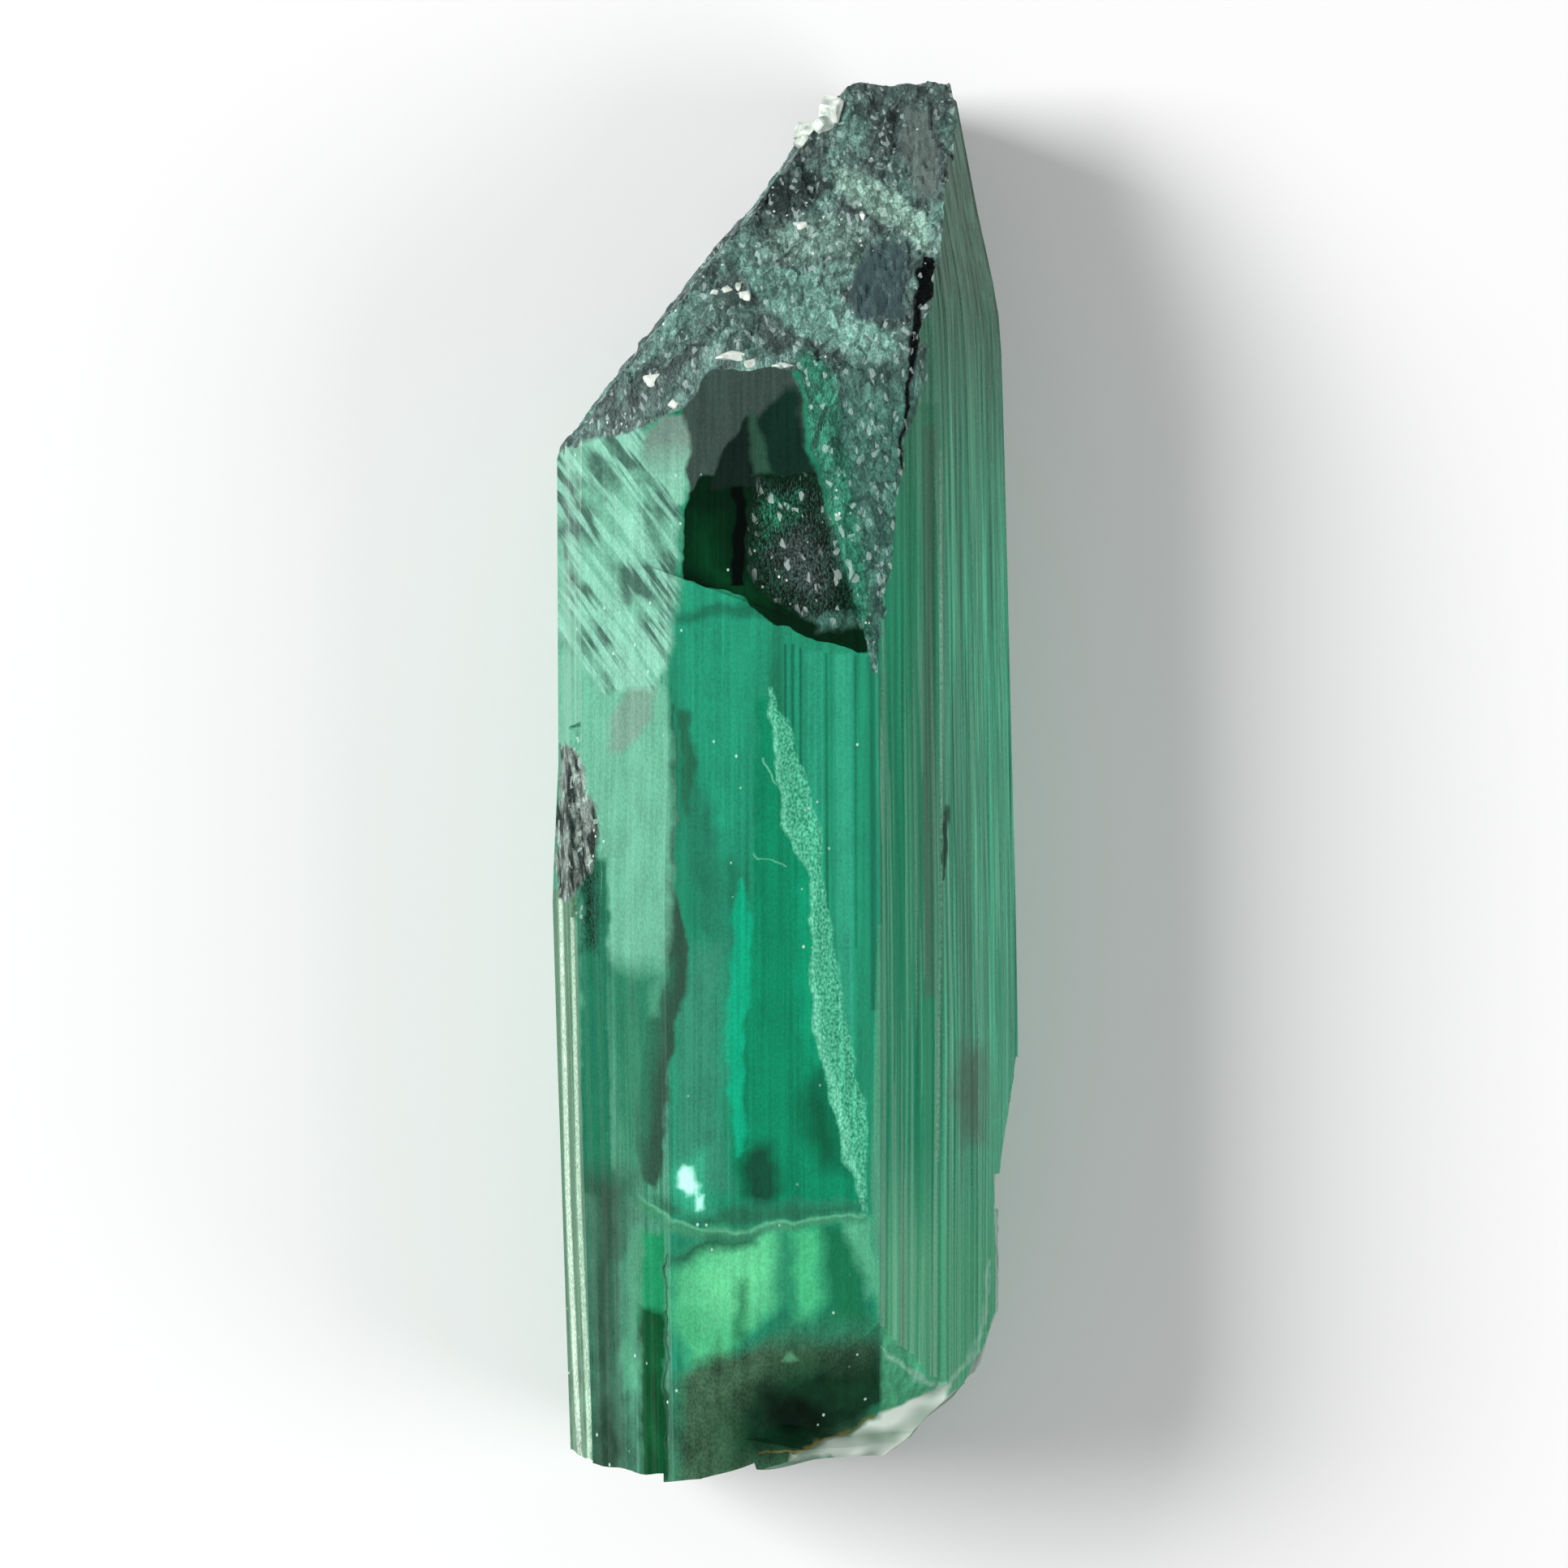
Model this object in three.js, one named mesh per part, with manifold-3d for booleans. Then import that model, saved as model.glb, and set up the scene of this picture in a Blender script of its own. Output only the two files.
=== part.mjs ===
// A rough green tourmaline crystal, as one solid, in millimetres with +Z up.
// It lies on its flat back face. Its long growth axis runs along Y, with the pointed, etched
// end at +Y and the broken root at -Y. The clear front face looks up.
// The prism faces carry growth ridges that run along Y. Etching has eaten the top end into
// rough slopes, and the root, the flanks and the edges have old chips.
import * as THREE from "three";
import { mergeVertices } from "three/addons/utils/BufferGeometryUtils.js";
import { ImprovedNoise } from "three/addons/math/ImprovedNoise.js";
import Module from "manifold-3d";

const wasm = await Module();
wasm.setup();

// Driving dimensions
const length = 30;
const halfLength = length / 2;
const halfWidth = 4.9;
const restHalfWidth = 2.0;
const frontHeight = 8.1;
const ridgeSeed = 11;
const etchGrid = 0.36;
const chipGrid = 0.45;
const beyond = 1;

// Corners of the cross-section as [x, z], anticlockwise from the left of the rest face.
// Each begins the face that leads to the next corner, with its growth ridges and their depth.
const sectionFaces = [
  { at: [-restHalfWidth, 0], ridges: 0, depth: 0 },
  { at: [restHalfWidth, 0], ridges: 5, depth: 0.07 },
  { at: [3.9, 1.35], ridges: 5, depth: 0.08 },
  { at: [4.8, 3.1], ridges: 3, depth: 0.05 },
  { at: [halfWidth, 4.3], ridges: 9, depth: 0.08 },
  { at: [3.3, 7.1], ridges: 6, depth: 0.07 },
  { at: [1.95, frontHeight + 0.1], ridges: 4, depth: 0.02 },
  { at: [-2.45, frontHeight - 0.1], ridges: 3, depth: 0.03 },
  { at: [-4.3, 6.2], ridges: 4, depth: 0.06 },
  { at: [-4.86, 4.3], ridges: 2, depth: 0.05 },
  { at: [-halfWidth, 3.1], ridges: 5, depth: 0.08 },
  { at: [-4.0, 1.3], ridges: 6, depth: 0.07 },
];

// How far the widest part of the crystal reaches to the right and left at each station along Y.
const girth = [
  { y: -halfLength - beyond, right: 4.95, left: 4.6 },
  { y: -5.7, right: 5.03, left: 4.95 },
  { y: -2.4, right: 4.97, left: 5.05 },
  { y: 0.4, right: 4.9, left: 4.92 },
  { y: 7.2, right: 4.73, left: 4.95 },
  { y: 9.2, right: 4.67, left: 4.95 },
  { y: 10.3, right: 4.59, left: 4.95 },
  { y: 12.3, right: 4.15, left: 4.95 },
  { y: halfLength + beyond, right: 3.45, left: 4.95 },
];

const noise = new ImprovedNoise();

function solidOf(geometry) {
  const bare = geometry.index ? geometry.toNonIndexed() : geometry.clone();
  bare.deleteAttribute("normal");
  bare.deleteAttribute("uv");
  const merged = mergeVertices(bare, 1e-4);
  return new wasm.Manifold(
    new wasm.Mesh({
      numProp: 3,
      vertProperties: merged.attributes.position.array,
      triVerts: new Uint32Array(merged.index.array),
    }),
  );
}

function geometryOf(solid) {
  const mesh = solid.getMesh();
  const stride = mesh.numProp;
  const positions = new Float32Array(mesh.numVert * 3);
  for (let i = 0; i < mesh.numVert; i++) {
    positions.set(mesh.vertProperties.subarray(i * stride, i * stride + 3), i * 3);
  }
  const geometry = new THREE.BufferGeometry();
  geometry.setAttribute("position", new THREE.BufferAttribute(positions, 3));
  geometry.setIndex(new THREE.BufferAttribute(mesh.triVerts, 1));
  geometry.computeVertexNormals();
  return geometry;
}

// Calls move(point) on every vertex and keeps what it changes.
function moveVertices(geometry, move) {
  const positions = geometry.getAttribute("position");
  const point = new THREE.Vector3();
  for (let i = 0; i < positions.count; i++) {
    point.fromBufferAttribute(positions, i);
    move(point);
    positions.setXYZ(i, point.x, point.y, point.z);
  }
  return geometry;
}

// The outline of the cross-section, with each face broken into ridges and grooves of uneven width.
function sectionOutline() {
  const random = () => THREE.MathUtils.seededRandom();
  THREE.MathUtils.seededRandom(ridgeSeed);
  const points = [];
  sectionFaces.forEach((face, i) => {
    const start = new THREE.Vector2(...face.at);
    const end = new THREE.Vector2(...sectionFaces[(i + 1) % sectionFaces.length].at);
    const along = end.clone().sub(start);
    const inward = new THREE.Vector2(-along.y, along.x).normalize();
    points.push(start);
    for (let k = 0; k < face.ridges; k++) {
      const groove = (k + 0.35 + 0.3 * random()) / face.ridges;
      const crest = (k + 0.85 + 0.1 * random()) / face.ridges;
      const depth = face.depth * (0.5 + 0.5 * random());
      points.push(start.clone().addScaledVector(along, groove).addScaledVector(inward, depth));
      if (k < face.ridges - 1) points.push(start.clone().addScaledVector(along, crest));
    }
  });
  return new THREE.Shape(points);
}

// The uncut prism: the ridged section, drawn out along Y from station to station.
function prism() {
  const stretches = girth.length - 1;
  const geometry = new THREE.ExtrudeGeometry(sectionOutline(), {
    depth: stretches,
    steps: stretches,
    bevelEnabled: false,
  });
  moveVertices(geometry, (point) => {
    const station = girth[Math.round(stretches - point.z)];
    const reach = point.x > 0 ? station.right : station.left;
    point.set((point.x / halfWidth) * reach, station.y, point.y);
  });
  return solidOf(geometry);
}

// A slab of [width, height, depth] whose near face goes through `at` with outward normal
// `facing`, and is raised and lowered by relief(u, v), with v running up the crystal. Taking it
// away leaves that face. `at` is the slab's middle, or the middle of its lower edge for a ledge,
// which `turn` swings round, in degrees.
function roughSlab({ at, facing, size, grid, relief = () => 0, ledge = false, turn = 0 }) {
  const [width, height, depth] = size;
  const slab = new THREE.BoxGeometry(
    width,
    height,
    depth,
    Math.ceil(width / grid),
    Math.ceil(height / grid),
    1,
  );
  moveVertices(slab, (point) => {
    point.z += depth / 2;
    if (point.z < depth / 2) point.z = relief(point.x, point.y);
    if (ledge) point.y += height / 2;
  });
  const out = new THREE.Vector3(...facing).normalize();
  const grain = Math.abs(out.y) > 0.8 ? new THREE.Vector3(0, 0, 1) : new THREE.Vector3(0, 1, 0);
  grain.addScaledVector(out, -grain.dot(out)).normalize();
  grain.applyAxisAngle(out, THREE.MathUtils.degToRad(turn));
  const across = new THREE.Vector3().crossVectors(grain, out);
  slab.applyMatrix4(new THREE.Matrix4().makeBasis(across, grain, out).setPosition(...at));
  return solidOf(slab);
}

// Etched ground: pits and slivers drawn out along the crystal, with low ledges across it.
function etched(depth) {
  return (u, v) => {
    const slivers = noise.noise(u / 0.45, v / 1.3, 3.7);
    const lumps = noise.noise(u / 1.9, v / 2.6, 8.1);
    const ledges = Math.round(2.2 * noise.noise(u / 2.4 + v / 5, v / 3.1, 1.3));
    return depth * (0.8 * slivers + 1.5 * lumps + 0.7 * ledges);
  };
}

// A shell-like break: ripples that spread from one point, over a hollow.
function shellBreak(u0, v0, hollow) {
  return (u, v) => {
    const reach = Math.hypot(u - u0, v - v0);
    const ripple = 0.03 * Math.sin(reach * 5.2);
    const sag = hollow * Math.exp(-((reach / 2.2) ** 2));
    return ripple - sag + 0.12 * noise.noise(u / 1.4, v / 1.4, 5.5);
  };
}

// The etched slopes that make the pointed end.
function endSlopes() {
  const broadSlope = {
    at: [-1.0, 8.5, 8.0],
    facing: [0.02, 0.5, 0.86],
    size: [16, 18, 9],
    grid: etchGrid,
    relief: etched(0.13),
  };
  const leftSlope = {
    at: [-2.6, 8.0, 7.7],
    facing: [-0.42, 0.42, 0.8],
    size: [5, 7, 3],
    grid: etchGrid,
    relief: etched(0.08),
  };
  const shoulderSlope = {
    at: [-1.55, 11.4, 2.6],
    facing: [-0.772, 0.613, 0.07],
    size: [14, 18, 7],
    grid: etchGrid,
    relief: etched(0.1),
  };
  const bluntTop = {
    at: [2.4, 15.04, 4],
    facing: [0.03, 1, 0.02],
    size: [10, 14, 3],
    grid: chipGrid,
    relief: etched(0.1),
  };
  // Lies between the front face and the right flank, and narrows to a point
  const wedge = {
    at: [1.7, 2.9, 8.189],
    facing: [0.27, 0.0745, 1],
    size: [4, 16, 3],
    grid: etchGrid,
    relief: etched(0.03),
  };
  // The smooth hollow below the broad slope, with a low ledge across the front face
  const smoothStep = {
    at: [-0.2, 3.55, frontHeight - 0.1],
    facing: [-0.15, 0.045, 1],
    size: [12, 12, 3],
    grid: 1.5,
    ledge: true,
    turn: -20,
  };
  return [broadSlope, leftSlope, shoulderSlope, bluntTop, wedge, smoothStep].map(roughSlab);
}

// The broken root.
function rootBreaks() {
  const leftOfFace = {
    at: [-6.45, -14.52, 4],
    facing: [0, -1, 0],
    size: [7.8, 12, 3],
    grid: chipGrid,
    relief: shellBreak(2, 1, 0.06),
  };
  const belowFace = {
    at: [0, -14.74, 4],
    facing: [0, -1, 0.02],
    size: [14, 12, 3],
    grid: chipGrid,
    relief: shellBreak(-1, 0, 0.05),
  };
  const footCorner = {
    at: [-1.52, -14.65, 4],
    facing: [0.31, -0.95, 0.02],
    size: [1.9, 12, 3],
    grid: chipGrid,
    relief: shellBreak(0, 0, 0.03),
  };
  const middleFoot = {
    at: [2.31, -14.43, 4],
    facing: [0.02, -1, 0.03],
    size: [6.2, 12, 3],
    grid: chipGrid,
    relief: shellBreak(-1.5, 1.5, 0.12),
  };
  const risingRight = {
    at: [3.27, -13.63, 3.5],
    facing: [0.675, -0.738, 0.1],
    size: [9, 16, 4],
    grid: chipGrid,
    relief: shellBreak(0, 1.5, 0.15),
  };
  // The pale, glossy break that shows below the front face
  const chipFace = {
    at: [1.9, -13.55, frontHeight - 0.05],
    facing: [0.3, -0.66, 0.69],
    size: [6.5, 5, 3],
    grid: chipGrid,
    relief: shellBreak(-0.3, -0.4, 0.12),
  };
  const flankCorner = {
    at: [4.23, -12.52, 4],
    facing: [0.93, -0.37, 0.1],
    size: [10, 14, 4],
    grid: chipGrid,
    relief: shellBreak(0, 1, 0.1),
  };
  const flankTip = {
    at: [2.05, -11.5, frontHeight + 0.05],
    facing: [0.29, -0.43, 0.86],
    size: [7, 5, 3],
    grid: chipGrid,
    relief: shellBreak(0, 0, 0.05),
  };
  const below = [leftOfFace, belowFace, footCorner, middleFoot, risingRight];
  return [...below, chipFace, flankCorner, flankTip].map(roughSlab);
}

// Chips along the two long edges.
function edgeChips() {
  const lowerSplit = {
    at: [4.58, -12.6, 4.6],
    facing: [1, 0.02, 0.06],
    size: [6, 8.4, 2],
    grid: chipGrid,
    relief: etched(0.03),
  };
  const upperSplit = {
    at: [4.72, -7.6, 5],
    facing: [1, -0.16, 0],
    size: [6, 3.4, 2],
    grid: chipGrid,
    relief: etched(0.02),
  };
  const leftChip = {
    at: [-4.5, -0.9, 5.4],
    facing: [-0.78, 0.06, 0.62],
    size: [1.5, 4.2, 2],
    grid: 0.3,
    relief: etched(0.12),
    turn: 6,
  };
  return [lowerSplit, upperSplit, leftChip].map(roughSlab);
}

// Two grains of pale feldspar grown into the left of the tip.
function paleGrains() {
  return [
    { at: [0.62, 14.0, 3.2], radius: 0.5 },
    { at: [1.0, 14.35, 3.7], radius: 0.44 },
  ].map(({ at, radius }) => {
    const grain = new THREE.IcosahedronGeometry(radius, 1);
    moveVertices(grain, (point) => {
      point.multiplyScalar(1 + 0.5 * noise.noise(point.x * 4, point.y * 4, point.z * 4));
      point.add(new THREE.Vector3(...at));
    });
    return solidOf(grain);
  });
}

// Loose slivers that the cuts leave are dropped: the crystal is the largest body.
function largestBody(solid) {
  return solid.decompose().reduce((best, body) => (body.volume() > best.volume() ? body : best));
}

function crystal() {
  let solid = prism();
  for (const slab of [...endSlopes(), ...rootBreaks(), ...edgeChips()]) solid = solid.subtract(slab);
  for (const grain of paleGrains()) solid = solid.add(grain);
  const geometry = geometryOf(largestBody(solid));
  geometry.computeBoundingBox();
  const { min, max } = geometry.boundingBox;
  geometry.translate(-(min.x + max.x) / 2, -(min.y + max.y) / 2, -min.z);
  const mesh = new THREE.Mesh(
    geometry,
    new THREE.MeshStandardMaterial({ color: 0x1f8a66, roughness: 0.15, metalness: 0, flatShading: true }),
  );
  mesh.name = "tourmaline_crystal";
  return mesh;
}

const group = new THREE.Group();
group.name = "rough_tourmaline";
group.add(crystal());

export default group;
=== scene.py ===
# Rough green tourmaline crystal, lying on its flat back face and seen from straight above.
# Its shape is worked out in millimetres and turned into metres once it is whole.
import math

import bpy
from mathutils import Euler, Matrix, Vector, noise


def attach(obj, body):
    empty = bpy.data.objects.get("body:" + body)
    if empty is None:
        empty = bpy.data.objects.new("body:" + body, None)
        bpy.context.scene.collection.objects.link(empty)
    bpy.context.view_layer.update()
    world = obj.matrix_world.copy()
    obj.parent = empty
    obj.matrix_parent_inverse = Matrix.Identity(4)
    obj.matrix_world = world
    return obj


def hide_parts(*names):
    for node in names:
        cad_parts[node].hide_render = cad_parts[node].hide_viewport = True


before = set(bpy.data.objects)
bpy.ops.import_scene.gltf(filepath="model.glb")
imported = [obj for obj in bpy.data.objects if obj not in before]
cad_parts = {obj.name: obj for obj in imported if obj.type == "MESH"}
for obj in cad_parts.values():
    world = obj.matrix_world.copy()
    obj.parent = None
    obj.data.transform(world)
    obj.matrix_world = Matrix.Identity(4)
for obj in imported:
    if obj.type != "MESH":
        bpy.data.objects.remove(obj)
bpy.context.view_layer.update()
millimetre = 0.001


def deselectAll():
    if bpy.context.mode != "OBJECT":
        bpy.ops.object.mode_set(mode="OBJECT")
    bpy.ops.object.select_all(action="DESELECT")


def makeActive(piece):
    deselectAll()
    piece.select_set(True)
    bpy.context.view_layer.objects.active = piece


def editWhole(piece):
    makeActive(piece)
    bpy.ops.object.mode_set(mode="EDIT")
    bpy.ops.mesh.select_all(action="SELECT")


def applyModifiers(piece):
    makeActive(piece)
    for modifier in list(piece.modifiers):
        bpy.ops.object.modifier_apply(modifier=modifier.name)


def smoothstep(low, high, value):
    share = min(max((value - low) / (high - low), 0.0), 1.0)
    return share * share * (3 - 2 * share)


# Where the middle of the crystal's underside lies in the measures below, in millimetres
middle = (-0.01, 0.17, 0.0)

# The prism
prismShape = {
    "pointSpacing": 0.034,  # round the section
    "stations": 44,
    "from": -16.0,
    "to": 16.0,
    "halfWidth": 4.9,
    "cornerCalm": 0.06,  # the ridges die out this near a corner
    # corner x, corner z, then the depth of the coarse, middle and fine ridges up to the next corner
    "faces": [
        (-2.0, 0.0, 0.0, 0.0, 0.0),
        (2.0, 0.0, 0.08, 0.03, 0.008),
        (3.9, 1.35, 0.09, 0.03, 0.008),
        (4.8, 3.1, 0.06, 0.03, 0.008),
        (4.9, 4.3, 0.06, 0.03, 0.010),
        (3.3, 7.1, 0.05, 0.03, 0.010),
        (1.95, 8.2, 0.010, 0.006, 0.003),
        (-2.45, 8.0, 0.03, 0.015, 0.004),
        (-4.3, 6.2, 0.06, 0.03, 0.008),
        (-4.86, 4.3, 0.05, 0.03, 0.008),
        (-4.9, 3.1, 0.09, 0.03, 0.008),
        (-4.0, 1.3, 0.08, 0.03, 0.008),
    ],
    # y, reach to the right, reach to the left
    "girth": [
        (-16.0, 4.95, 4.6),
        (-5.7, 5.03, 4.95),
        (-2.4, 4.97, 5.05),
        (0.4, 4.9, 4.92),
        (7.2, 4.73, 4.95),
        (9.2, 4.67, 4.95),
        (10.3, 4.59, 4.95),
        (12.3, 4.15, 4.95),
        (16.0, 3.45, 4.95),
    ],
}


def ridgeDepth(face, along, span, y):
    coarse, middle, fine = face[2:]
    if coarse == 0:
        return 0.0
    seed = face[0] * 7.3 + face[1] * 3.1
    depth = 1.6 * coarse * abs(noise.noise(Vector((along / 0.5, y / 45, seed))))
    depth += 1.5 * middle * abs(noise.noise(Vector((along / 0.17, y / 28, seed + 5))))
    depth += 1.5 * fine * abs(noise.noise(Vector((along / 0.07, y / 16, seed + 9))))
    calm = prismShape["cornerCalm"]
    return depth * smoothstep(0, calm, along) * smoothstep(0, calm, span - along)


def reachAt(y, side):
    girth = prismShape["girth"]
    for low, high in zip(girth, girth[1:]):
        if y <= high[0]:
            share = (y - low[0]) / (high[0] - low[0])
            return low[side] + share * (high[side] - low[side])
    return girth[-1][side]


def sectionAt(y):
    points = []
    faces = prismShape["faces"]
    for face, after in zip(faces, faces[1:] + faces[:1]):
        start, end = Vector(face[:2]), Vector(after[:2])
        span = (end - start).length
        along = (end - start) / span
        inward = Vector((-along.y, along.x))
        steps = max(1, round(span / prismShape["pointSpacing"]))
        for i in range(steps):
            reach = span * i / steps
            spot = start + along * reach + inward * ridgeDepth(face, reach, span, y)
            side = reachAt(y, 1 if spot.x > 0 else 2)
            points.append(Vector((spot.x / prismShape["halfWidth"] * side, y, spot.y)))
    return points


def makePrism():
    first, last, count = prismShape["from"], prismShape["to"], prismShape["stations"]
    deselectAll()
    bpy.ops.mesh.primitive_circle_add(vertices=len(sectionAt(first)), radius=1, fill_type="NGON")
    prism = bpy.context.object
    editWhole(prism)
    for _ in range(count - 1):
        bpy.ops.mesh.extrude_region_move(TRANSFORM_OT_translate={"value": (0, 0, 1)})
    bpy.ops.object.mode_set(mode="OBJECT")
    rings = {}
    for vertex in prism.data.vertices:
        rings.setdefault(round(vertex.co.z), []).append(vertex)
    for level, ring in rings.items():
        ring.sort(key=lambda vertex: math.atan2(vertex.co.y, vertex.co.x))
        y = first + (last - first) * level / (count - 1)
        for vertex, spot in zip(ring, sectionAt(y)):
            vertex.co = spot
    editWhole(prism)
    bpy.ops.mesh.normals_make_consistent(inside=False)
    bpy.ops.object.mode_set(mode="OBJECT")
    return prism


# The faces that etching and breaks have cut into the prism. Each is the near side of a slab
# that is taken away, raised and lowered by its relief, with v running up the crystal.
def scales(u, v, width, length, seed):
    spot = Vector((u / width, v / length, seed))
    nearest = noise.voronoi(spot)[1][0]
    lift = noise.noise(nearest * 5.3)
    lean = noise.noise(nearest * 3.7 + Vector((9.1, 4.2, 7.7)))
    return lift + 1.6 * lean * (spot.x - nearest.x)


def etchedRelief(depth, grit=1.0):
    def relief(u, v):
        height = depth * 1.5 * noise.noise(Vector((u / 1.9, v / 2.6, 8.1)))
        height += depth * 0.9 * scales(u + 0.3 * v, v, 1.3, 1.9, 1.3)
        height += grit * 0.10 * scales(u, v, 0.34, 0.6, 4.4)
        height += grit * 0.045 * scales(u, v, 0.13, 0.3, 6.6)
        return height

    return relief


def shellRelief(u0, v0, hollow):
    def relief(u, v):
        reach = math.hypot(u - u0, v - v0)
        uneven = 1.5 * noise.noise(Vector((u / 2, v / 2, 2.0)))
        ripple = 0.03 * math.sin(reach * 5.2 + uneven)
        sag = hollow * math.exp(-((reach / 2.2) ** 2))
        return ripple - sag + 0.12 * noise.noise(Vector((u / 1.4, v / 1.4, 5.5)))

    return relief


def calmRelief(u, v):
    return 0.02 * noise.noise(Vector((u, v / 2, 4)))


# Kinds of surface. The number is kept on the faces for the material to read.
grown, etched, broken, smooth = 0, 1, 2, 3

slabs = {
    "broadSlope": dict(
        at=(-1.0, 8.5, 8.0), facing=(0.02, 0.5, 0.86), size=(13, 18, 8),
        step=(0.06, 0.08), relief=etchedRelief(0.13), kind=etched,
    ),
    "leftSlope": dict(
        at=(-2.6, 8.0, 7.7), facing=(-0.42, 0.42, 0.8), size=(5, 7, 3),
        step=(0.06, 0.08), relief=etchedRelief(0.08), kind=etched,
    ),
    "shoulderSlope": dict(
        at=(-1.55, 11.4, 2.6), facing=(-0.772, 0.613, 0.07), size=(14, 18, 6),
        step=(0.09, 0.14), relief=etchedRelief(0.1), kind=etched,
    ),
    "bluntTop": dict(
        at=(2.4, 15.04, 4), facing=(0.03, 1, 0.02), size=(9, 12, 3),
        step=(0.08, 0.08), relief=etchedRelief(0.1), kind=etched,
    ),
    "wedge": dict(
        at=(1.7, 2.9, 8.189), facing=(0.27, 0.0745, 1), size=(4, 16, 3),
        step=(0.06, 0.08), relief=etchedRelief(0.03, 0.6), kind=etched,
    ),
    "smoothStep": dict(
        at=(-0.2, 3.55, 8.0), facing=(-0.15, 0.045, 1), size=(12, 12, 3),
        step=(0.4, 0.4), relief=calmRelief, kind=smooth, ledge=True, turn=-20,
    ),
    "leftOfFace": dict(
        at=(-6.45, -14.52, 4), facing=(0, -1, 0), size=(7.8, 12, 3),
        step=(0.12, 0.12), relief=shellRelief(2, 1, 0.06), kind=broken,
    ),
    "belowFace": dict(
        at=(0, -14.74, 4), facing=(0, -1, 0.02), size=(14, 12, 3),
        step=(0.12, 0.12), relief=shellRelief(-1, 0, 0.05), kind=broken,
    ),
    "footCorner": dict(
        at=(-1.52, -14.65, 4), facing=(0.31, -0.95, 0.02), size=(1.9, 12, 3),
        step=(0.12, 0.12), relief=shellRelief(0, 0, 0.03), kind=broken,
    ),
    "middleFoot": dict(
        at=(2.31, -14.43, 4), facing=(0.02, -1, 0.03), size=(6.2, 12, 3),
        step=(0.12, 0.12), relief=shellRelief(-1.5, 1.5, 0.12), kind=broken,
    ),
    "risingRight": dict(
        at=(3.27, -13.63, 3.5), facing=(0.675, -0.738, 0.1), size=(9, 16, 4),
        step=(0.12, 0.12), relief=shellRelief(0, 1.5, 0.15), kind=broken,
    ),
    "chipFace": dict(
        at=(1.9, -13.55, 8.05), facing=(0.3, -0.66, 0.69), size=(6.5, 5, 3),
        step=(0.06, 0.06), relief=shellRelief(-0.3, -0.4, 0.12), kind=broken,
    ),
    "flankCorner": dict(
        at=(4.23, -12.52, 4), facing=(0.93, -0.37, 0.1), size=(10, 14, 4),
        step=(0.12, 0.12), relief=shellRelief(0, 1, 0.1), kind=broken,
    ),
    "flankTip": dict(
        at=(2.05, -11.5, 8.15), facing=(0.29, -0.43, 0.86), size=(7, 5, 3),
        step=(0.08, 0.08), relief=shellRelief(0, 0, 0.05), kind=smooth,
    ),
    "lowerSplit": dict(
        at=(4.58, -12.6, 4.6), facing=(1, 0.02, 0.06), size=(6, 8.4, 2),
        step=(0.1, 0.15), relief=etchedRelief(0.03, 0.4), kind=broken,
    ),
    "upperSplit": dict(
        at=(4.72, -7.6, 5), facing=(1, -0.16, 0), size=(6, 3.4, 2),
        step=(0.1, 0.15), relief=etchedRelief(0.02, 0.4), kind=broken,
    ),
    "leftChip": dict(
        at=(-4.5, -0.9, 5.4), facing=(-0.78, 0.06, 0.62), size=(1.5, 4.2, 2),
        step=(0.05, 0.07), relief=etchedRelief(0.12), kind=smooth, turn=6,
    ),
}


def makeSlab(at, facing, size, step, relief, kind, ledge=False, turn=0):
    width, height, depth = size
    deselectAll()
    bpy.ops.mesh.primitive_grid_add(
        x_subdivisions=math.ceil(width / step[0]),
        y_subdivisions=math.ceil(height / step[1]),
        size=1,
    )
    slab = bpy.context.object
    for vertex in slab.data.vertices:
        u = vertex.co.x * width
        v = vertex.co.y * height
        vertex.co = (u, v + height / 2 if ledge else v, relief(u, v))
    editWhole(slab)
    bpy.ops.mesh.extrude_region_move(TRANSFORM_OT_translate={"value": (0, 0, depth)})
    bpy.ops.mesh.select_all(action="SELECT")
    bpy.ops.mesh.normals_make_consistent(inside=False)
    bpy.ops.object.mode_set(mode="OBJECT")
    out = Vector(facing).normalized()
    grain = Vector((0, 0, 1)) if abs(out.y) > 0.8 else Vector((0, 1, 0))
    grain = (grain - out * grain.dot(out)).normalized()
    grain.rotate(Matrix.Rotation(math.radians(turn), 3, out))
    across = grain.cross(out)
    place = Matrix((across, grain, out)).transposed().to_4x4()
    place.translation = at
    slab.data.transform(place)
    giveKinds(slab, kind)
    return slab


surfaceKinds = [bpy.data.materials.new(f"kind{number}") for number in range(4)]


def giveKinds(piece, kind):
    for material in surfaceKinds:
        piece.data.materials.append(material)
    for polygon in piece.data.polygons:
        polygon.material_index = kind


def takeAway(body, cutter):
    cut = body.modifiers.new("cut", "BOOLEAN")
    cut.operation = "DIFFERENCE"
    cut.solver = "MANIFOLD"
    cut.object = cutter
    applyModifiers(body)
    bpy.data.objects.remove(cutter)


def keepLargest(piece):
    editWhole(piece)
    bpy.ops.mesh.separate(type="LOOSE")
    bpy.ops.object.mode_set(mode="OBJECT")
    parts = sorted(bpy.context.selected_objects, key=lambda part: len(part.data.vertices))
    for sliver in parts[:-1]:
        bpy.data.objects.remove(sliver)
    return parts[-1]


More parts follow.
